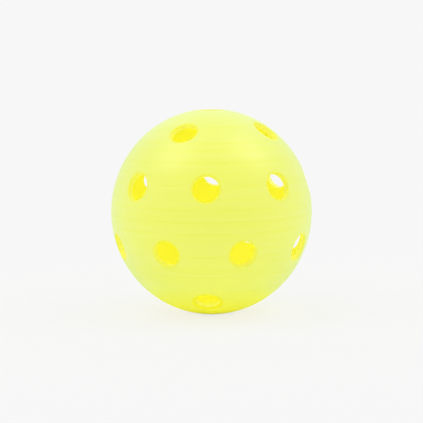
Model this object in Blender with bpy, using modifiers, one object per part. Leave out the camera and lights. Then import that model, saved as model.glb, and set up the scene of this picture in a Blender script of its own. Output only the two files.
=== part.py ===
"""A pickleball: two moulded plastic half shells with holes, joined by a weld at the equator."""

import math

import bpy
from mathutils import Matrix, Vector

# Sizes in metres. The weld plane is Z = 0 and the moulding axis is Z.
SEAM_DIAMETER = 0.0734
AXIS_DIAMETER = 0.0752
WALL = 0.0019

# Holes: each has a bore and a narrow flat land around its mouth.
HOLE_DIAMETER = 0.0094
RIM_WIDTH = 0.0007
RIM_TRIM = 0.00012
CUT_PAST = 0.0020

# Hole pattern of one half, in degrees. Both halves have it, and the lower one is turned over.
RING_LATITUDE = 18.2
RING_COUNT = 8
RING_START = 11.25
CROWN_LATITUDE = 53.8
CROWN_COUNT = 4
CROWN_TURN = -22.5
LOWER_TURN = 21.1

# Weld joint: a tongue on the upper half sits in a rabbet of the lower half.
TONGUE_THICKNESS = 0.0007
TONGUE_LENGTH = 0.0014
TONGUE_GAP = 0.0003
BEAD_HEIGHT = 0.0008
BEAD_FLASH = 0.0003

SHELL_STEPS = 48
SHELL_ROWS = 12
HOLE_STEPS = 24

OUTER_R = SEAM_DIAMETER / 2
OUTER_H = AXIS_DIAMETER / 2
INNER_R = OUTER_R - WALL
INNER_H = OUTER_H - WALL
HOLE_R = HOLE_DIAMETER / 2
RIM_R = HOLE_R + RIM_WIDTH
TONGUE_R = INNER_R + TONGUE_THICKNESS
RABBET_R = TONGUE_R + TONGUE_GAP
RABBET_DEPTH = TONGUE_LENGTH + BEAD_HEIGHT


def clear_scene():
    for obj in list(bpy.data.objects):
        bpy.data.objects.remove(obj, do_unlink=True)


def new_collection(name):
    made = bpy.data.collections.new(name)
    bpy.context.scene.collection.children.link(made)
    return made


def plastic(name, colour, roughness):
    made = bpy.data.materials.new(name)
    made.use_nodes = True
    shader = made.node_tree.nodes["Principled BSDF"]
    shader.inputs["Base Color"].default_value = (*colour, 1.0)
    shader.inputs["Roughness"].default_value = roughness
    made.diffuse_color = (*colour, 1.0)
    return made


def height_at(radius, half_width, half_height):
    """Height of a spheroid above its middle at a distance from its axis."""
    return half_height * math.sqrt(1 - (radius / half_width) ** 2)


def radius_at(height, half_width, half_height):
    """Distance of a spheroid from its axis at a height above its middle."""
    return half_width * math.sqrt(1 - (height / half_height) ** 2)


def arc(start, end, half_width, half_height):
    """Points on a spheroid's section, both ends included, from one (radius, height) to another."""
    first = math.atan2(start[1] / half_height, start[0] / half_width)
    last = math.atan2(end[1] / half_height, end[0] / half_width)
    angles = [first + (last - first) * i / SHELL_ROWS for i in range(SHELL_ROWS + 1)]
    return [(half_width * math.cos(a), half_height * math.sin(a)) for a in angles]


def turned(name, profile, steps, closed, collection):
    """A solid turned about Z from a section given as (radius, height) points."""
    mesh = bpy.data.meshes.new(name)
    points = [(r, 0.0, z) for r, z in profile]
    edges = [(i, i + 1) for i in range(len(points) - 1)]
    if closed:
        edges.append((len(points) - 1, 0))
    mesh.from_pydata(points, edges, [])
    obj = bpy.data.objects.new(name, mesh)
    collection.objects.link(obj)
    screw = obj.modifiers.new("turn", "SCREW")
    screw.axis = "Z"
    screw.angle = math.tau
    screw.screw_offset = 0.0
    screw.steps = steps
    screw.render_steps = steps
    screw.use_merge_vertices = True
    screw.merge_threshold = 0.00001
    screw.use_smooth_shade = False
    return obj


def hole_places(lower):
    """(latitude, azimuth) in degrees of one half's holes away from its pole. Azimuth runs from -Y to +X."""
    sign = -1 if lower else 1
    start = RING_START + (LOWER_TURN if lower else 0)
    ring = [(sign * RING_LATITUDE, start + 360 / RING_COUNT * i) for i in range(RING_COUNT)]
    first = start + CROWN_TURN
    crown = [(sign * CROWN_LATITUDE, first + 360 / CROWN_COUNT * i) for i in range(CROWN_COUNT)]
    return ring + crown


def hole_frame(latitude, azimuth):
    """Matrix whose origin is the middle of a hole's mouth on the outer surface and whose Z points out of it."""
    lat = math.radians(latitude)
    az = math.radians(azimuth)
    way = Vector((math.cos(lat) * math.sin(az), -math.cos(lat) * math.cos(az), math.sin(lat)))
    reach = 1 / math.sqrt((math.cos(lat) / OUTER_R) ** 2 + (math.sin(lat) / OUTER_H) ** 2)
    mouth = way * reach
    normal = Vector((mouth.x / OUTER_R**2, mouth.y / OUTER_R**2, mouth.z / OUTER_H**2)).normalized()
    return Matrix.Translation(mouth) @ normal.to_track_quat("Z", "Y").to_matrix().to_4x4()


def hole_cutters(half, lower):
    """Cutters for one half's holes, each with a wider head that faces the rim flat."""
    collection = new_collection(f"{half}_hole_cutters")
    rim_drop = OUTER_R - math.sqrt(OUTER_R**2 - RIM_R**2) + RIM_TRIM
    profile = [
        (0.0, CUT_PAST),
        (RIM_R, CUT_PAST),
        (RIM_R, -rim_drop),
        (HOLE_R, -rim_drop),
        (HOLE_R, -WALL - CUT_PAST),
        (0.0, -WALL - CUT_PAST),
    ]
    for i, place in enumerate(hole_places(lower)):
        cutter = turned(f"{half}_hole_cutter_{i + 1}", profile, HOLE_STEPS, False, collection)
        cutter.matrix_world = hole_frame(*place)
        cutter.hide_render = True
        cutter.display_type = "WIRE"
    return collection


def cut_holes(shell, cutters):
    cut = shell.modifiers.new("holes", "BOOLEAN")
    cut.operation = "DIFFERENCE"
    cut.solver = "EXACT"
    cut.operand_type = "COLLECTION"
    cut.collection = cutters


def upper_half_shell(collection):
    """The half with the tongue. Its polar hole is part of the turned section."""
    rim_z = height_at(RIM_R, OUTER_R, OUTER_H)
    bore_z = height_at(HOLE_R, INNER_R, INNER_H)
    profile = [(HOLE_R, rim_z)]
    profile += arc((RIM_R, rim_z), (OUTER_R, 0.0), OUTER_R, OUTER_H)
    profile += [(TONGUE_R, 0.0), (TONGUE_R, -TONGUE_LENGTH), (INNER_R, -TONGUE_LENGTH)]
    profile += arc((INNER_R, 0.0), (HOLE_R, bore_z), INNER_R, INNER_H)
    shell = turned("upper_half_shell", profile, SHELL_STEPS, True, collection)
    cut_holes(shell, hole_cutters("upper", False))
    return shell


def lower_half_shell(collection):
    """The half with the rabbet for the tongue and the lip outside it."""
    rim_z = -height_at(RIM_R, OUTER_R, OUTER_H)
    bore_z = -height_at(HOLE_R, INNER_R, INNER_H)
    floor_r = radius_at(RABBET_DEPTH, INNER_R, INNER_H)
    profile = arc((OUTER_R, 0.0), (RIM_R, rim_z), OUTER_R, OUTER_H)
    profile += [(HOLE_R, rim_z)]
    profile += arc((HOLE_R, bore_z), (floor_r, -RABBET_DEPTH), INNER_R, INNER_H)
    profile += [(RABBET_R, -RABBET_DEPTH), (RABBET_R, 0.0)]
    shell = turned("lower_half_shell", profile, SHELL_STEPS, True, collection)
    cut_holes(shell, hole_cutters("lower", True))
    return shell


def weld_bead(collection):
    """The ring between the tongue's tip and the rabbet's floor, with flash on its inner side."""
    top = -TONGUE_LENGTH
    bottom = -RABBET_DEPTH
    swell = BEAD_HEIGHT / 4
    flash_r = INNER_R - BEAD_FLASH
    profile = [
        (TONGUE_R, top),
        (TONGUE_R, bottom),
        (INNER_R, bottom),
        (flash_r, bottom + swell),
        (flash_r, top - swell),
        (INNER_R, top),
    ]
    return turned("weld_bead", profile, SHELL_STEPS, True, collection)


def main():
    clear_scene()
    ball = new_collection("pickleball")
    upper = upper_half_shell(ball)
    lower = lower_half_shell(ball)
    bead = weld_bead(ball)
    upper.data.materials.append(plastic("upper_half_plastic", (0.87, 0.93, 0.16), 0.4))
    lower.data.materials.append(plastic("lower_half_plastic", (0.87, 0.93, 0.16), 0.4))
    bead.data.materials.append(plastic("weld_plastic", (0.84, 0.86, 0.10), 0.35))


main()
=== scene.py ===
"""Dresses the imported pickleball: fine half shells with rounded holes, the weld ring, moulded plastic.

The camera, the pale paper and the soft light follow the photograph.
"""

import math

import bpy
from mathutils import Matrix, Vector
from mathutils.geometry import delaunay_2d_cdt


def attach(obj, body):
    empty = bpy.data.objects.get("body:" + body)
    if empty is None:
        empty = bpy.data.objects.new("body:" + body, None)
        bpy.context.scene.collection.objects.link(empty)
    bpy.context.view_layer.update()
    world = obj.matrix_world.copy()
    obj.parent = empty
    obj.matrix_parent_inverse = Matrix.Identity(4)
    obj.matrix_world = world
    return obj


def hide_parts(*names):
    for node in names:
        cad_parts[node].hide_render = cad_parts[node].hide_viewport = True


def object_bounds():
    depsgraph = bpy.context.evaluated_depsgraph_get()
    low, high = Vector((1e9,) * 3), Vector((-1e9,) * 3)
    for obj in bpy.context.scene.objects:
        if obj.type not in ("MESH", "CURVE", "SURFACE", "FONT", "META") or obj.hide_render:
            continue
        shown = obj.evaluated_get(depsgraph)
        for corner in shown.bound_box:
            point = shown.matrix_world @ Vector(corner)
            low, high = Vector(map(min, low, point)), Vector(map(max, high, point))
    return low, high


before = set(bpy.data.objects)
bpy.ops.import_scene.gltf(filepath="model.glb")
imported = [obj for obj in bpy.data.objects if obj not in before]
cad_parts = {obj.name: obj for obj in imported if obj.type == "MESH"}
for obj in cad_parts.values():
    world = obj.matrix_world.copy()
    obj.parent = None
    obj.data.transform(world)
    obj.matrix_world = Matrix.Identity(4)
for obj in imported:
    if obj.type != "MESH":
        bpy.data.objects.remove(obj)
cad_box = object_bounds()

# Sizes of the ball in metres, as in the CAD model, and the rounding of its holes. The weld plane is Z = 0.
OUTER_R = 0.0734 / 2
OUTER_H = 0.0752 / 2
WALL = 0.0019
INNER_R = OUTER_R - WALL
INNER_H = OUTER_H - WALL
HOLE_R = 0.0094 / 2
MOUTH_WIDTH = 0.00085
MOUTH_DEPTH = 0.00030
INSIDE_ROUND = 0.00012

# Hole pattern of one half, in degrees. Azimuth runs from -Y to +X.
RING_LATITUDE = 18.2
RING_COUNT = 8
RING_START = 11.25
CROWN_LATITUDE = 53.8
CROWN_COUNT = 4
CROWN_TURN = -22.5
LOWER_TURN = 21.1

# Weld joint: a tongue on the upper half, a rabbet in the lower half and the bead between them.
TONGUE_R = INNER_R + 0.0007
TONGUE_LENGTH = 0.0014
RABBET_R = TONGUE_R + 0.0003
RABBET_DEPTH = TONGUE_LENGTH + 0.0008
BEAD_FLASH = 0.0003
# The flash's mean height as a share of BEAD_FLASH, and its waves: (share, waves around the ball, start).
BEAD_MEAN = 0.8
BEAD_WAVES = ((0.12, 7, 1.0), (0.08, 17, 2.0))
BEAD_STEPS = 8
SEAM_GAP = 0.000001

# Mould lines: shallow grooves along circles of latitude, this many degrees apart. One more is the seam.
LINE_STEP = 12.7
LINE_COUNT = 5
LINE_HALF_WIDTH = 0.00042
LINE_DEPTH = 0.00003
LINE_ROWS = (-1.0, -0.5, 0.0, 0.5, 1.0)
LINE_CLEAR = 0.0022
LINE_FADE = 0.0014

# Mesh fineness. Margins are shares of the spacing of the points.
OUTER_SPACING = 0.0013
INNER_SPACING = 0.0022
HOLE_POINTS = 48
SEAM_POINTS = 192
ROUND_STEPS = 6
BORE_STEPS = 3
HALO_STEPS = (0.00030, 0.00075, 0.00140)
HALO_CLEAR = 0.0020
SEAM_MARGIN = 0.5
LINE_MARGIN = 0.45
RING_POINTS_MIN = 6
LINE_POINTS_MIN = 12
CHART_MERGE = 1e-6
PROBE_DEPTH = 3 * WALL
FAR_AWAY = 1.0
CRISP_ANGLE = 50

# Camera, from a fit of the outline and the holes to the photograph.
VIEW_AZIMUTH = 14.29
VIEW_ELEVATION = 6.12
VIEW_DISTANCE = 0.5143
VIEW_ROLL = -0.56
FOCAL_PIXELS = 1402.0
FRAME_PIXELS = 423
SENSOR_MM = 36.0
CLIP_START = 0.01

# Plastic. The skin is streaked around the ball. Mould lines and the seam are painted yellower and a little
# darker, as painted shade of their grooves, and the lips of the holes take the same tint. The wall is a
# deeper yellow under the skin. A faint glow inside stands in for light through the wall.
SKIN_YELLOW = (0.944, 0.976, 0.045)
PALE_YELLOW = (0.956, 0.981, 0.100)
# Painted shade of the mould lines' and the seam's grooves: a darker, yellower tint, which the lips of the
# holes also take.
THIN_YELLOW = (0.935, 0.965, 0.010)
DEEP_YELLOW = (0.990, 0.985, 0.228)
DEEP_GLOW = (0.043, 0.0405, 0.001)
DEEP_FROM = 0.00025
DEEP_TO = 0.00070
# Its finish: streaks around the ball, rubbed patches that shine less or more, and a faint peel.
STREAK_SCALE = (25.0, 25.0, 550.0)
STREAK_DETAIL = 3.0
STREAK_LOW = 0.3
STREAK_HIGH = 0.7
RUB_SCALE = 240.0
RUB_DETAIL = 4.0
RUB_RANGE = 0.08
PEEL_SCALE = 700.0
PEEL_DETAIL = 2.0
PEEL_STRENGTH = 0.25
PEEL_HEIGHT = 0.00004
SATIN = 0.41
BEAD_SATIN = 0.34
GLOSS_IOR = 1.78
HAZE = 0.35
HAZE_SPREAD = 0.71
HAZE_TINT = (0.55, 1.0, 0.95)

# Studio. The paper has one even tone far from the ball, and real light and shadow near it. Under the ball it
# throws yellow light up, unseen by the camera, for light that the wall lets through. That light fades towards
# the contact and beyond the ball. Azimuths count from the camera's side, in degrees.
WHITE = (1.0, 1.0, 1.0, 1.0)
BLACK = (0.0, 0.0, 0.0, 1.0)
PAPER_TONE = 0.930
PAPER_WHITE = 0.97
SHADOW_SHARE = 0.22
SHADOW_CORE = 0.12
SHADOW_REACH = 0.36
FLOOR_R = 12.0
FLOOR_POINTS = 64
UNDER_YELLOW = (0.970, 0.900, 0.010)
UNDER_GLOW = (0.170, 0.121, 0.0)
CONTACT_CORE = 0.005
CONTACT_REACH = 0.018
UNDER_CORE = 0.021
UNDER_REACH = 0.0315
SIDE_LIGHT = 0.95
TOP_LIGHT = 0.70
LAMP_POWER = 0.63
LAMP_SIZE = 0.33
LAMP_DISTANCE = 0.7
LAMP_ELEVATION = 56
LEFT_AZIMUTH = -74
RIGHT_AZIMUTH = 86
BACK_POWER = 0.18
BACK_SIZE = 0.6
BACK_AZIMUTH = 180
BACK_ELEVATION = 38
BOUNCES = 32


def smooth(value):
    """0 below 0, 1 above 1 and an even curve between."""
    value = min(max(value, 0.0), 1.0)
    return value * value * (3 - 2 * value)


def on_spheroid(colatitude, azimuth, half_width, half_height):
    """Point of a spheroid at an angle from its pole and an angle about its axis, in radians."""
    radius = half_width * math.sin(colatitude)
    height = half_height * math.cos(colatitude)
    return Vector((radius * math.cos(azimuth), radius * math.sin(azimuth), height))


def spheroid_normal(point, half_width, half_height):
    slope = Vector((point.x / half_width**2, point.y / half_width**2, point.z / half_height**2))
    return slope.normalized()


def chart(point, half_width, half_height):
    """Flat place of a point on a half: its angle from the pole, laid out in its own direction."""
    reach = math.hypot(point.x, point.y)
    angle = math.degrees(math.atan2(reach / half_width, point.z / half_height))
    return Vector((angle * point.x / reach, angle * point.y / reach))


def meet_spheroid(start, way, half_width, half_height):
    """Where a line that runs outwards leaves a spheroid."""
    scale = Vector((1 / half_width, 1 / half_width, 1 / half_height))
    s = start * scale
    w = way * scale
    a = w.dot(w)
    b = w.dot(s)
    c = s.dot(s) - 1
    return start + way * ((-b + math.sqrt(b * b - a * c)) / a)


def rounded_edge(start, corner, end):
    """Rings of points along quarter ellipses, from a start ring past a corner ring to an end ring."""
    rings = []
    for step in range(ROUND_STEPS + 1):
        share = step / ROUND_STEPS
        first = (1 - share) ** 2
        middle = math.sqrt(2) * share * (1 - share)
        last = share**2
        total = first + middle + last
        corners = zip(start, corner, end)
        rings.append([(a * first + b * middle + c * last) / total for a, b, c in corners])
    return rings


class Mouth:
    """The mouth of one hole on a half whose pole points up."""

    def __init__(self, latitude, azimuth):
        lat = math.radians(latitude)
        az = math.radians(azimuth)
        way = Vector((math.cos(lat) * math.sin(az), -math.cos(lat) * math.cos(az), math.sin(lat)))
        self.middle = meet_spheroid(Vector((0, 0, 0)), way, OUTER_R, OUTER_H)
        self.out = spheroid_normal(self.middle, OUTER_R, OUTER_H)
        self.right = self.out.orthogonal().normalized()
        self.up = self.out.cross(self.right)

    def spoke(self, i, shift=0.0):
        angle = math.tau * (i + shift) / HOLE_POINTS
        return self.right * math.cos(angle) + self.up * math.sin(angle)

    def distance(self, point):
        """Distance of a point from the hole's axis, or a large one on the far side of the ball."""
        if point.dot(self.out) < 0:
            return FAR_AWAY
        across = point - self.middle
        return (across - self.out * across.dot(self.out)).length

    def circle_on(self, radius, half_width, half_height, shift=0.0):
        """Points of a spheroid at one distance from the hole's axis."""
        spokes = [self.spoke(i, shift) for i in range(HOLE_POINTS)]
        starts = [self.middle + spoke * radius - self.out * PROBE_DEPTH for spoke in spokes]
        return [meet_spheroid(start, self.out, half_width, half_height) for start in starts]

    def wall_rings(self):
        """Rings of points from the outer surface around the mouth and down the bore to the inner surface."""
        skin = self.circle_on(HOLE_R + MOUTH_WIDTH, OUTER_R, OUTER_H)
        corner = self.circle_on(HOLE_R, OUTER_R, OUTER_H)
        mouth = rounded_edge(skin, corner, [p - self.out * MOUTH_DEPTH for p in corner])
        skin = self.circle_on(HOLE_R + INSIDE_ROUND, INNER_R, INNER_H)
        corner = self.circle_on(HOLE_R, INNER_R, INNER_H)
        inside = rounded_edge([p + self.out * INSIDE_ROUND for p in corner], corner, skin)
        bore = []
        for step in range(1, BORE_STEPS):
            bore.append([a.lerp(b, step / BORE_STEPS) for a, b in zip(mouth[-1], inside[0])])
        return mouth + bore + inside


def hole_places(lower):
    """(latitude, azimuth) of one half's holes, seen with its pole up."""
    start = RING_START + (LOWER_TURN if lower else 0)
    places = [(RING_LATITUDE, start + 360 / RING_COUNT * i) for i in range(RING_COUNT)]
    places += [(CROWN_LATITUDE, start + CROWN_TURN + 360 / CROWN_COUNT * i) for i in range(CROWN_COUNT)]
    if lower:
        places = [(latitude, 180 - azimuth) for latitude, azimuth in places]
    return places + [(90.0, 0.0)]


def line_latitudes():
    """Latitudes of one half's lines in degrees, the seam's first."""
    return [0.0] + [(i + 0.5) * LINE_STEP for i in range(LINE_COUNT)]


def line_share(point, mouths):
    """How much of a mould line's depth the outer surface has at a point, from 0 to 1."""
    latitude = 90 - chart(point, OUTER_R, OUTER_H).length
    nearest = min(abs(latitude - line) for line in line_latitudes())
    away = math.radians(nearest) * OUTER_R / LINE_HALF_WIDTH
    if away >= 1:
        return 0.0
    clear = min(mouth.distance(point) for mouth in mouths) - HOLE_R - MOUTH_WIDTH - LINE_CLEAR
    return (1 - smooth(away)) * smooth(clear / LINE_FADE)


def skin_rings(spacing, lowest, half_height, lines):
    """Rings that fill a half's surface: (angle from the pole in radians, points, turn in points)."""
    step = spacing / OUTER_R
    count = int(math.radians(90) / step)
    angles = [math.radians(90) * i / count for i in range(1, count)]
    angles = [a for a in angles if half_height * math.cos(a) > lowest + SEAM_MARGIN * spacing]
    rings = []
    for line in line_latitudes() if lines else []:
        middle = math.radians(90 - line)
        half = LINE_HALF_WIDTH / OUTER_R
        angles = [a for a in angles if abs(a - middle) > half + LINE_MARGIN * step]
        count = SEAM_POINTS
        if line:
            count = max(LINE_POINTS_MIN, round(math.tau * math.sin(middle) / step))
        rings += [(middle + half * share, count, 0.0) for share in LINE_ROWS if line or share < 0]
    for i, angle in enumerate(angles):
        count = max(RING_POINTS_MIN, round(math.tau * math.sin(angle) / step))
        rings.append((angle, count, 0.5 * (i % 2)))
    return rings


def skin_fill(mouths, spacing, half_width, half_height, lowest, edge_round, lines):
    """Points inside one surface of a half, away from its holes and its seam."""
    found = []
    for angle, count, shift in skin_rings(spacing, lowest, half_height, lines):
        for i in range(count):
            point = on_spheroid(angle, math.tau * (i + shift) / count, half_width, half_height)
            if min(mouth.distance(point) for mouth in mouths) > HOLE_R + edge_round + HALO_CLEAR:
                found.append(point)
    for mouth in mouths:
        for i, halo in enumerate(HALO_STEPS):
            radius = HOLE_R + edge_round + halo
            found += mouth.circle_on(radius, half_width, half_height, 0.5 * ((i + 1) % 2))
    return found


def skin_faces(loops, fill, half_width, half_height):
    """Triangles over loops, the seam's last, and then fill points. The holes' loops stay open."""
    points = [p for loop in loops for p in loop] + fill
    owner = [i for i, loop in enumerate(loops) for _ in loop] + [None] * len(fill)
    edges = []
    start = 0
    for loop in loops:
        edges += [(start + i, start + (i + 1) % len(loop)) for i in range(len(loop))]
        start += len(loop)
    flat = [chart(p, half_width, half_height) for p in points]
    _, _, faces, came_from, _, _ = delaunay_2d_cdt(flat, edges, [], 0, CHART_MERGE)
    seam = len(loops) - 1
    kept = []
    for face in faces:
        corners = [came_from[i][0] for i in face]
        owners = {owner[c] for c in corners}
        if len(owners) == 1 and None not in owners and seam not in owners:
            continue
        kept.append(corners)
    return kept


def seam_ring(radius, height):
    """Points of a level circle about the axis."""
    turns = [math.tau * i / SEAM_POINTS for i in range(SEAM_POINTS)]
    return [Vector((radius * math.cos(a), radius * math.sin(a), height)) for a in turns]


def radius_at(height, half_width, half_height):
    """Distance of a spheroid from its axis at a height above its middle."""
    return half_width * math.sqrt(1 - (height / half_height) ** 2)


def strips(rings, turned_over):
    """Four-sided faces between rings of vertex numbers."""
    faces = []
    for a, b in zip(rings, rings[1:]):
        for i in range(len(a)):
            j = (i + 1) % len(a)
            quad = (a[i], a[j], b[j], b[i])
            faces.append(quad[::-1] if turned_over else quad)
    return faces


def as_piece(mesh):
    """An object in the scene with rounded surfaces shaded smooth and corners kept crisp."""
    mesh.update()
    mesh.shade_smooth()
    mesh.set_sharp_from_angle(angle=math.radians(CRISP_ANGLE))
    piece = bpy.data.objects.new(mesh.name, mesh)
    bpy.context.scene.collection.objects.link(piece)
    return piece


def half_shell(name, lower):
    """One half of the ball, built with its pole up and turned over if it is the lower one."""
    mouths = [Mouth(*place) for place in hole_places(lower)]
    walls = [mouth.wall_rings() for mouth in mouths]
    edge = SEAM_GAP / 2
    outer_seam = seam_ring(radius_at(edge, OUTER_R, OUTER_H) - LINE_DEPTH, edge)
    if lower:
        floor_r = radius_at(RABBET_DEPTH, INNER_R, INNER_H)
        inner_seam = seam_ring(floor_r, RABBET_DEPTH)
        joint = [(RABBET_R, edge), (RABBET_R, RABBET_DEPTH)]
    else:
        inner_seam = seam_ring(INNER_R, edge)
        joint = [(TONGUE_R, edge), (TONGUE_R, -TONGUE_LENGTH), (INNER_R, -TONGUE_LENGTH)]

    points = []
    bore_starts = []

    def place(ring):
        points.extend(ring)
        return list(range(len(points) - len(ring), len(points)))

    outer_loops = [wall[0] for wall in walls] + [outer_seam]
    outer_fill = skin_fill(mouths, OUTER_SPACING, OUTER_R, OUTER_H, edge, MOUTH_WIDTH, True)
    outer_faces = skin_faces(outer_loops, outer_fill, OUTER_R, OUTER_H)
    shares = [line_share(p, mouths) for p in outer_fill]
    lowered = []
    for point, share in zip(outer_fill, shares):
        lowered.append(point - spheroid_normal(point, OUTER_R, OUTER_H) * LINE_DEPTH * share)
    outer_numbers = [place(loop) for loop in outer_loops]
    # Shares of the painted groove shade: a mould line's depth share on the skin, all of it on the seam, and a
    # ramp across each lip.
    thin = dict(zip(place(lowered), shares))
    thin.update(dict.fromkeys(outer_numbers[-1], 1.0))
    faces = [tuple(face) for face in outer_faces]
    # Faces after these, from the lips of the holes inwards, have the inside's plastic.
    skin_count = len(faces)
    for wall, first in zip(walls, outer_numbers):
        mouth = [first] + [place(ring) for ring in wall[1 : ROUND_STEPS + 1]]
        for step, ring in enumerate(mouth):
            thin.update(dict.fromkeys(ring, step / ROUND_STEPS))
        faces += strips(mouth, False)
        bore_starts.append(mouth[-1])

    inner_start = len(points)
    inner_loops = [wall[-1] for wall in walls] + [inner_seam]
    inner_fill = skin_fill(mouths, INNER_SPACING, INNER_R, INNER_H, inner_seam[0].z, INSIDE_ROUND, False)
    inner_faces = skin_faces(inner_loops, inner_fill, INNER_R, INNER_H)
    inner_numbers = [place(loop) for loop in inner_loops]
    place(inner_fill)
    faces += [tuple(inner_start + c for c in reversed(face)) for face in inner_faces]

    for wall, first, last in zip(walls, bore_starts, inner_numbers):
        faces += strips([first] + [place(ring) for ring in wall[ROUND_STEPS + 1 : -1]] + [last], False)

    rings = [outer_numbers[-1]] + [place(seam_ring(r, z)) for r, z in joint] + [inner_numbers[-1]]
    faces += strips(rings, True)

    mesh = bpy.data.meshes.new(name)
    mesh.from_pydata(points, [], faces)
    mesh.polygons.foreach_set("material_index", [int(i >= skin_count) for i in range(len(faces))])
    marks = mesh.attributes.new("thin_skin", "FLOAT", "POINT")
    marks.data.foreach_set("value", [thin.get(i, 0.0) for i in range(len(points))])
    if lower:
        mesh.transform(Matrix.Rotation(math.pi, 4, "X"))
    return as_piece(mesh)


def weld_ring():
    """The bead between tongue and rabbet. Its flash swells unevenly on the inner side."""
    top = -TONGUE_LENGTH
    bottom = -RABBET_DEPTH
    rows = []
    for i in range(SEAM_POINTS):
        turn = math.tau * i / SEAM_POINTS
        waves = sum(share * math.sin(count * turn + start) for share, count, start in BEAD_WAVES)
        swell = BEAD_FLASH * (BEAD_MEAN + waves)
        section = [(TONGUE_R, top), (TONGUE_R, bottom)]
        for step in range(BEAD_STEPS + 1):
            share = step / BEAD_STEPS
            section.append((INNER_R - swell * math.sin(math.pi * share), bottom + (top - bottom) * share))
        rows.append([(r * math.cos(turn), r * math.sin(turn), z) for r, z in section])
    size = len(rows[0])
    points = [p for row in rows for p in row]
    faces = []
    for i in range(SEAM_POINTS):
        j = (i + 1) % SEAM_POINTS
        for k in range(size):
            m = (k + 1) % size
            faces.append((i * size + k, i * size + m, j * size + m, j * size + k))
    mesh = bpy.data.meshes.new("weld_ring")
    mesh.from_pydata(points, [], faces)
    return as_piece(mesh)


def add_node(tree, kind, place, **settings):
    made = tree.nodes.new(kind)
    made.location = place
    for key, value in settings.items():
        setattr(made, key, value)
    return made


def moulded_plastic_group():
    """Colour, glow, roughness and height of moulded plastic, deeper in the wall than at the skin."""
    group = bpy.data.node_groups.new("moulded_plastic", "ShaderNodeTree")
    for name, kind in (
        ("Skin", "NodeSocketColor"),
        ("Pale skin", "NodeSocketColor"),
        ("Thin skin", "NodeSocketColor"),
        ("Deep", "NodeSocketColor"),
        ("Deep glow", "NodeSocketColor"),
        ("Roughness", "NodeSocketFloat"),
    ):
        group.interface.new_socket(name, in_out="INPUT", socket_type=kind)
    for name, kind in (
        ("Colour", "NodeSocketColor"),
        ("Glow", "NodeSocketColor"),
        ("Roughness", "NodeSocketFloat"),
        ("Height", "NodeSocketFloat"),
    ):
        group.interface.new_socket(name, in_out="OUTPUT", socket_type=kind)
    link = group.links.new
    inputs = add_node(group, "NodeGroupInput", (-1200, 0))
    outputs = add_node(group, "NodeGroupOutput", (600, 0))
    place = add_node(group, "ShaderNodeTexCoord", (-1200, 400))

    shrink = add_node(group, "ShaderNodeVectorMath", (-1000, 400), operation="DIVIDE")
    shrink.inputs[1].default_value = (OUTER_R, OUTER_R, OUTER_H)
    reach = add_node(group, "ShaderNodeVectorMath", (-820, 400), operation="LENGTH")
    depth = add_node(group, "ShaderNodeMapRange", (-640, 400), interpolation_type="SMOOTHSTEP")
    depth.inputs["From Min"].default_value = 1 - DEEP_FROM / OUTER_R
    depth.inputs["From Max"].default_value = 1 - DEEP_TO / OUTER_R
    link(place.outputs["Object"], shrink.inputs[0])
    link(shrink.outputs[0], reach.inputs[0])
    link(reach.outputs["Value"], depth.inputs["Value"])

    stretch = add_node(group, "ShaderNodeVectorMath", (-1000, 100), operation="MULTIPLY")
    stretch.inputs[1].default_value = STREAK_SCALE
    streak = add_node(group, "ShaderNodeTexNoise", (-820, 100))
    streak.inputs["Scale"].default_value = 1.0
    streak.inputs["Detail"].default_value = STREAK_DETAIL
    streak_range = add_node(group, "ShaderNodeMapRange", (-640, 60))
    streak_range.inputs["From Min"].default_value = STREAK_LOW
    streak_range.inputs["From Max"].default_value = STREAK_HIGH
    skin = add_node(group, "ShaderNodeMix", (-400, 100), data_type="RGBA")
    link(place.outputs["Object"], stretch.inputs[0])
    link(stretch.outputs[0], streak.inputs["Vector"])
    link(streak.outputs["Fac"], streak_range.inputs["Value"])
    link(streak_range.outputs["Result"], skin.inputs["Factor"])
    link(inputs.outputs["Skin"], skin.inputs["A"])
    link(inputs.outputs["Pale skin"], skin.inputs["B"])

    # Painted shade in the mould lines and the seam, and the lips' tint, mixed in by each point's share.
    thin = add_node(group, "ShaderNodeAttribute", (-640, 700), attribute_name="thin_skin")
    thinned = add_node(group, "ShaderNodeMix", (-300, 200), data_type="RGBA")
    link(thin.outputs["Fac"], thinned.inputs["Factor"])
    link(skin.outputs["Result"], thinned.inputs["A"])
    link(inputs.outputs["Thin skin"], thinned.inputs["B"])

    blend = add_node(group, "ShaderNodeMix", (-180, 300), data_type="RGBA")
    link(depth.outputs["Result"], blend.inputs["Factor"])
    link(thinned.outputs["Result"], blend.inputs["A"])
    link(inputs.outputs["Deep"], blend.inputs["B"])
    link(blend.outputs["Result"], outputs.inputs["Colour"])
    glow = add_node(group, "ShaderNodeMix", (-180, 550), data_type="RGBA")
    glow.inputs["A"].default_value = BLACK
    link(depth.outputs["Result"], glow.inputs["Factor"])
    link(inputs.outputs["Deep glow"], glow.inputs["B"])
    link(glow.outputs["Result"], outputs.inputs["Glow"])

    rub = add_node(group, "ShaderNodeTexNoise", (-640, -150))
    rub.inputs["Scale"].default_value = RUB_SCALE
    rub.inputs["Detail"].default_value = RUB_DETAIL
    rub_range = add_node(group, "ShaderNodeMapRange", (-400, -150))
    rub_range.inputs["To Min"].default_value = -RUB_RANGE
    rub_range.inputs["To Max"].default_value = RUB_RANGE
    rough = add_node(group, "ShaderNodeMath", (-180, -120), operation="ADD")
    link(place.outputs["Object"], rub.inputs["Vector"])
    link(rub.outputs["Fac"], rub_range.inputs["Value"])
    link(inputs.outputs["Roughness"], rough.inputs[0])
    link(rub_range.outputs["Result"], rough.inputs[1])
    link(rough.outputs[0], outputs.inputs["Roughness"])

    peel = add_node(group, "ShaderNodeTexNoise", (-640, -400))
    peel.inputs["Scale"].default_value = PEEL_SCALE
    peel.inputs["Detail"].default_value = PEEL_DETAIL
    link(place.outputs["Object"], peel.inputs["Vector"])
    link(peel.outputs["Fac"], outputs.inputs["Height"])
    return group


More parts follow.
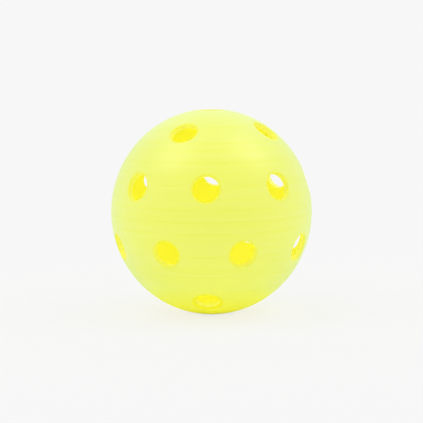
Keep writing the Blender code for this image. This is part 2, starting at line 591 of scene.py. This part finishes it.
def ball_plastic(name, group, roughness, haze=0.0):
    """The plastic of the skin, which has a pale haze towards its edges, or of the inside, which has none."""
    made = bpy.data.materials.new(name)
    made.use_nodes = True
    tree = made.node_tree
    shader = tree.nodes["Principled BSDF"]
    finish = add_node(tree, "ShaderNodeGroup", (-520, 200), node_tree=group)
    finish.inputs["Skin"].default_value = (*SKIN_YELLOW, 1.0)
    finish.inputs["Pale skin"].default_value = (*PALE_YELLOW, 1.0)
    finish.inputs["Thin skin"].default_value = (*THIN_YELLOW, 1.0)
    finish.inputs["Deep"].default_value = (*DEEP_YELLOW, 1.0)
    finish.inputs["Deep glow"].default_value = (*DEEP_GLOW, 1.0)
    finish.inputs["Roughness"].default_value = roughness
    bump = add_node(tree, "ShaderNodeBump", (-260, -200))
    bump.inputs["Strength"].default_value = PEEL_STRENGTH
    bump.inputs["Distance"].default_value = PEEL_HEIGHT
    tree.links.new(finish.outputs["Colour"], shader.inputs["Base Color"])
    tree.links.new(finish.outputs["Glow"], shader.inputs["Emission Color"])
    tree.links.new(finish.outputs["Roughness"], shader.inputs["Roughness"])
    tree.links.new(finish.outputs["Height"], bump.inputs["Height"])
    tree.links.new(bump.outputs["Normal"], shader.inputs["Normal"])
    shader.inputs["IOR"].default_value = GLOSS_IOR
    shader.inputs["Emission Strength"].default_value = 1.0
    shader.inputs["Sheen Weight"].default_value = haze
    shader.inputs["Sheen Roughness"].default_value = HAZE_SPREAD
    shader.inputs["Sheen Tint"].default_value = (*HAZE_TINT, 1.0)
    return made


def studio_paper():
    """Pale paper seen at one even tone. Near the ball its real light shows in part, so the shadow stays."""
    made = bpy.data.materials.new("studio_paper")
    made.use_nodes = True
    tree = made.node_tree
    tree.nodes.clear()
    link = tree.links.new
    out = add_node(tree, "ShaderNodeOutputMaterial", (900, 0))
    lit = add_node(tree, "ShaderNodeBsdfDiffuse", (300, -100))
    even = add_node(tree, "ShaderNodeEmission", (300, -250))
    even.inputs["Strength"].default_value = PAPER_TONE

    place = add_node(tree, "ShaderNodeTexCoord", (-900, 100))
    reach = add_node(tree, "ShaderNodeVectorMath", (-700, 100), operation="LENGTH")
    for_camera = add_node(tree, "ShaderNodeMapRange", (-500, 200), interpolation_type="SMOOTHSTEP")
    for_mirror = add_node(tree, "ShaderNodeMapRange", (-500, -100), interpolation_type="SMOOTHSTEP")
    for blend, nearest in ((for_camera, 1 - SHADOW_SHARE), (for_mirror, 0.0)):
        blend.inputs["From Min"].default_value = SHADOW_CORE
        blend.inputs["From Max"].default_value = SHADOW_REACH
        blend.inputs["To Min"].default_value = nearest
        blend.inputs["To Max"].default_value = 1.0
        link(reach.outputs["Value"], blend.inputs["Value"])
    link(place.outputs["Object"], reach.inputs[0])

    path = add_node(tree, "ShaderNodeLightPath", (-500, 500))
    under = add_node(tree, "ShaderNodeMapRange", (-500, -400), interpolation_type="SMOOTHSTEP")
    under.inputs["From Min"].default_value = UNDER_CORE
    under.inputs["From Max"].default_value = UNDER_REACH
    under.inputs["To Min"].default_value = 1.0
    under.inputs["To Max"].default_value = 0.0
    unseen = add_node(tree, "ShaderNodeMath", (-250, -300), operation="SUBTRACT")
    unseen.inputs[0].default_value = 1.0
    under_share = add_node(tree, "ShaderNodeMath", (-50, -400), operation="MULTIPLY")
    tint = add_node(tree, "ShaderNodeMix", (150, -100), data_type="RGBA")
    tint.inputs["A"].default_value = (PAPER_WHITE, PAPER_WHITE, PAPER_WHITE, 1.0)
    tint.inputs["B"].default_value = (*UNDER_YELLOW, 1.0)
    contact = add_node(tree, "ShaderNodeMapRange", (-500, -700), interpolation_type="SMOOTHSTEP")
    contact.inputs["From Min"].default_value = CONTACT_CORE
    contact.inputs["From Max"].default_value = CONTACT_REACH
    glow_share = add_node(tree, "ShaderNodeMath", (-50, -600), operation="MULTIPLY")
    glow = add_node(tree, "ShaderNodeEmission", (150, -400))
    glow.inputs["Color"].default_value = (*UNDER_GLOW, 1.0)
    lit_paper = add_node(tree, "ShaderNodeAddShader", (450, -200))
    link(reach.outputs["Value"], under.inputs["Value"])
    link(path.outputs["Is Camera Ray"], unseen.inputs[1])
    link(unseen.outputs[0], under_share.inputs[0])
    link(under.outputs["Result"], under_share.inputs[1])
    link(under_share.outputs[0], tint.inputs["Factor"])
    link(tint.outputs["Result"], lit.inputs["Color"])
    link(reach.outputs["Value"], contact.inputs["Value"])
    link(under_share.outputs[0], glow_share.inputs[0])
    link(contact.outputs["Result"], glow_share.inputs[1])
    link(glow_share.outputs[0], glow.inputs["Strength"])
    link(lit.outputs[0], lit_paper.inputs[0])
    link(glow.outputs[0], lit_paper.inputs[1])
    made.cycles.emission_sampling = "NONE"

    mirrored = add_node(tree, "ShaderNodeMath", (-250, 400), operation="MAXIMUM")
    shown = add_node(tree, "ShaderNodeMath", (-50, 250), operation="MULTIPLY")
    share = add_node(tree, "ShaderNodeMath", (150, 150), operation="MULTIPLY_ADD")
    pick = add_node(tree, "ShaderNodeMixShader", (600, 0))
    link(path.outputs["Is Glossy Ray"], mirrored.inputs[0])
    link(path.outputs["Is Transmission Ray"], mirrored.inputs[1])
    link(mirrored.outputs[0], shown.inputs[0])
    link(for_mirror.outputs["Result"], shown.inputs[1])
    link(path.outputs["Is Camera Ray"], share.inputs[0])
    link(for_camera.outputs["Result"], share.inputs[1])
    link(shown.outputs[0], share.inputs[2])
    link(share.outputs[0], pick.inputs["Fac"])
    link(lit_paper.outputs[0], pick.inputs[1])
    link(even.outputs[0], pick.inputs[2])
    link(pick.outputs[0], out.inputs["Surface"])
    return made


def studio_floor(level):
    """A wide round sheet of paper under the ball."""
    points = [(0.0, 0.0, 0.0)]
    turns = [math.tau * i / FLOOR_POINTS for i in range(FLOOR_POINTS)]
    points += [(FLOOR_R * math.cos(a), FLOOR_R * math.sin(a), 0.0) for a in turns]
    faces = [(0, 1 + i, 1 + (i + 1) % FLOOR_POINTS) for i in range(FLOOR_POINTS)]
    mesh = bpy.data.meshes.new("studio_floor")
    mesh.from_pydata(points, [], faces)
    mesh.materials.append(studio_paper())
    floor = bpy.data.objects.new("studio_floor", mesh)
    floor.location.z = level
    bpy.context.scene.collection.objects.link(floor)


def view_way(azimuth, elevation):
    """Direction from the ball's middle towards an azimuth and an elevation, in degrees."""
    az = math.radians(azimuth)
    el = math.radians(elevation)
    return Vector((math.sin(az) * math.cos(el), -math.cos(az) * math.cos(el), math.sin(el)))


def soft_box(name, azimuth, elevation, distance, size, power):
    """A square lamp turned to the ball. Azimuth counts from the camera's side."""
    data = bpy.data.lights.new(name, "AREA")
    data.shape = "SQUARE"
    data.size = size
    data.energy = power
    lamp = bpy.data.objects.new(name, data)
    way = view_way(VIEW_AZIMUTH + azimuth, elevation)
    turn = way.to_track_quat("Z", "Y").to_matrix().to_4x4()
    lamp.matrix_world = Matrix.Translation(way * distance) @ turn
    bpy.context.scene.collection.objects.link(lamp)


def studio_world():
    """White light from all round, less of it from above, and the paper's tone where the studio is seen."""
    world = bpy.data.worlds.new("studio_world")
    world.use_nodes = True
    tree = world.node_tree
    tree.nodes.clear()
    link = tree.links.new
    out = add_node(tree, "ShaderNodeOutputWorld", (600, 0))
    way = add_node(tree, "ShaderNodeTexCoord", (-800, -100))
    axes = add_node(tree, "ShaderNodeSeparateXYZ", (-600, -100))
    fall = add_node(tree, "ShaderNodeMapRange", (-300, -100))
    fall.inputs["To Min"].default_value = SIDE_LIGHT
    fall.inputs["To Max"].default_value = TOP_LIGHT
    light = add_node(tree, "ShaderNodeBackground", (0, -100))
    shown = add_node(tree, "ShaderNodeBackground", (0, 100))
    for background in (light, shown):
        background.inputs["Color"].default_value = WHITE
    shown.inputs["Strength"].default_value = PAPER_TONE
    link(way.outputs["Generated"], axes.inputs[0])
    link(axes.outputs["Z"], fall.inputs["Value"])
    link(fall.outputs["Result"], light.inputs["Strength"])

    path = add_node(tree, "ShaderNodeLightPath", (-600, 400))
    first = add_node(tree, "ShaderNodeMath", (-400, 300), operation="MAXIMUM")
    seen = add_node(tree, "ShaderNodeMath", (-200, 300), operation="MAXIMUM")
    pick = add_node(tree, "ShaderNodeMixShader", (300, 0))
    link(path.outputs["Is Camera Ray"], first.inputs[0])
    link(path.outputs["Is Glossy Ray"], first.inputs[1])
    link(first.outputs[0], seen.inputs[0])
    link(path.outputs["Is Transmission Ray"], seen.inputs[1])
    link(seen.outputs[0], pick.inputs["Fac"])
    link(light.outputs[0], pick.inputs[1])
    link(shown.outputs[0], pick.inputs[2])
    link(pick.outputs[0], out.inputs["Surface"])
    bpy.context.scene.world = world


def camera():
    """The photograph's camera, turned about its axis by a small roll."""
    data = bpy.data.cameras.new("camera")
    data.sensor_width = SENSOR_MM
    data.lens = FOCAL_PIXELS / FRAME_PIXELS * SENSOR_MM
    data.clip_start = CLIP_START
    made = bpy.data.objects.new("camera", data)
    way = view_way(VIEW_AZIMUTH, VIEW_ELEVATION)
    turn = way.to_track_quat("Z", "Y").to_matrix().to_4x4()
    roll = Matrix.Rotation(math.radians(VIEW_ROLL), 4, "Z")
    made.matrix_world = Matrix.Translation(way * VIEW_DISTANCE) @ turn @ roll
    bpy.context.scene.collection.objects.link(made)
    bpy.context.scene.camera = made


plastic_group = moulded_plastic_group()
upper_plastic = ball_plastic("upper_half_plastic", plastic_group, SATIN, HAZE)
lower_plastic = ball_plastic("lower_half_plastic", plastic_group, SATIN, HAZE)
inside_plastic = ball_plastic("inside_plastic", plastic_group, SATIN)
bead_plastic = ball_plastic("weld_plastic", plastic_group, BEAD_SATIN)

upper_shell = half_shell("upper_shell", False)
lower_shell = half_shell("lower_shell", True)
bead = weld_ring()
for piece, node, slot, plastics in (
    (upper_shell, "upper_half_shell", "upper_half_plastic", (upper_plastic, inside_plastic)),
    (lower_shell, "lower_half_shell", "lower_half_plastic", (lower_plastic, inside_plastic)),
    (bead, "weld_bead", "weld_plastic", (bead_plastic,)),
):
    for plastic in plastics:
        piece.data.materials.append(plastic)
    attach(piece, "root")
    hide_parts(node)

studio_floor(cad_box[0].z)
studio_world()
soft_box("left_soft_box", LEFT_AZIMUTH, LAMP_ELEVATION, LAMP_DISTANCE, LAMP_SIZE, LAMP_POWER)
soft_box("right_soft_box", RIGHT_AZIMUTH, LAMP_ELEVATION, LAMP_DISTANCE, LAMP_SIZE, LAMP_POWER)
soft_box("back_soft_box", BACK_AZIMUTH, BACK_ELEVATION, LAMP_DISTANCE, BACK_SIZE, BACK_POWER)
camera()
bpy.context.scene.view_settings.view_transform = "Standard"
bpy.context.scene.cycles.max_bounces = BOUNCES
bpy.context.scene.cycles.diffuse_bounces = BOUNCES
bpy.context.scene.cycles.glossy_bounces = BOUNCES
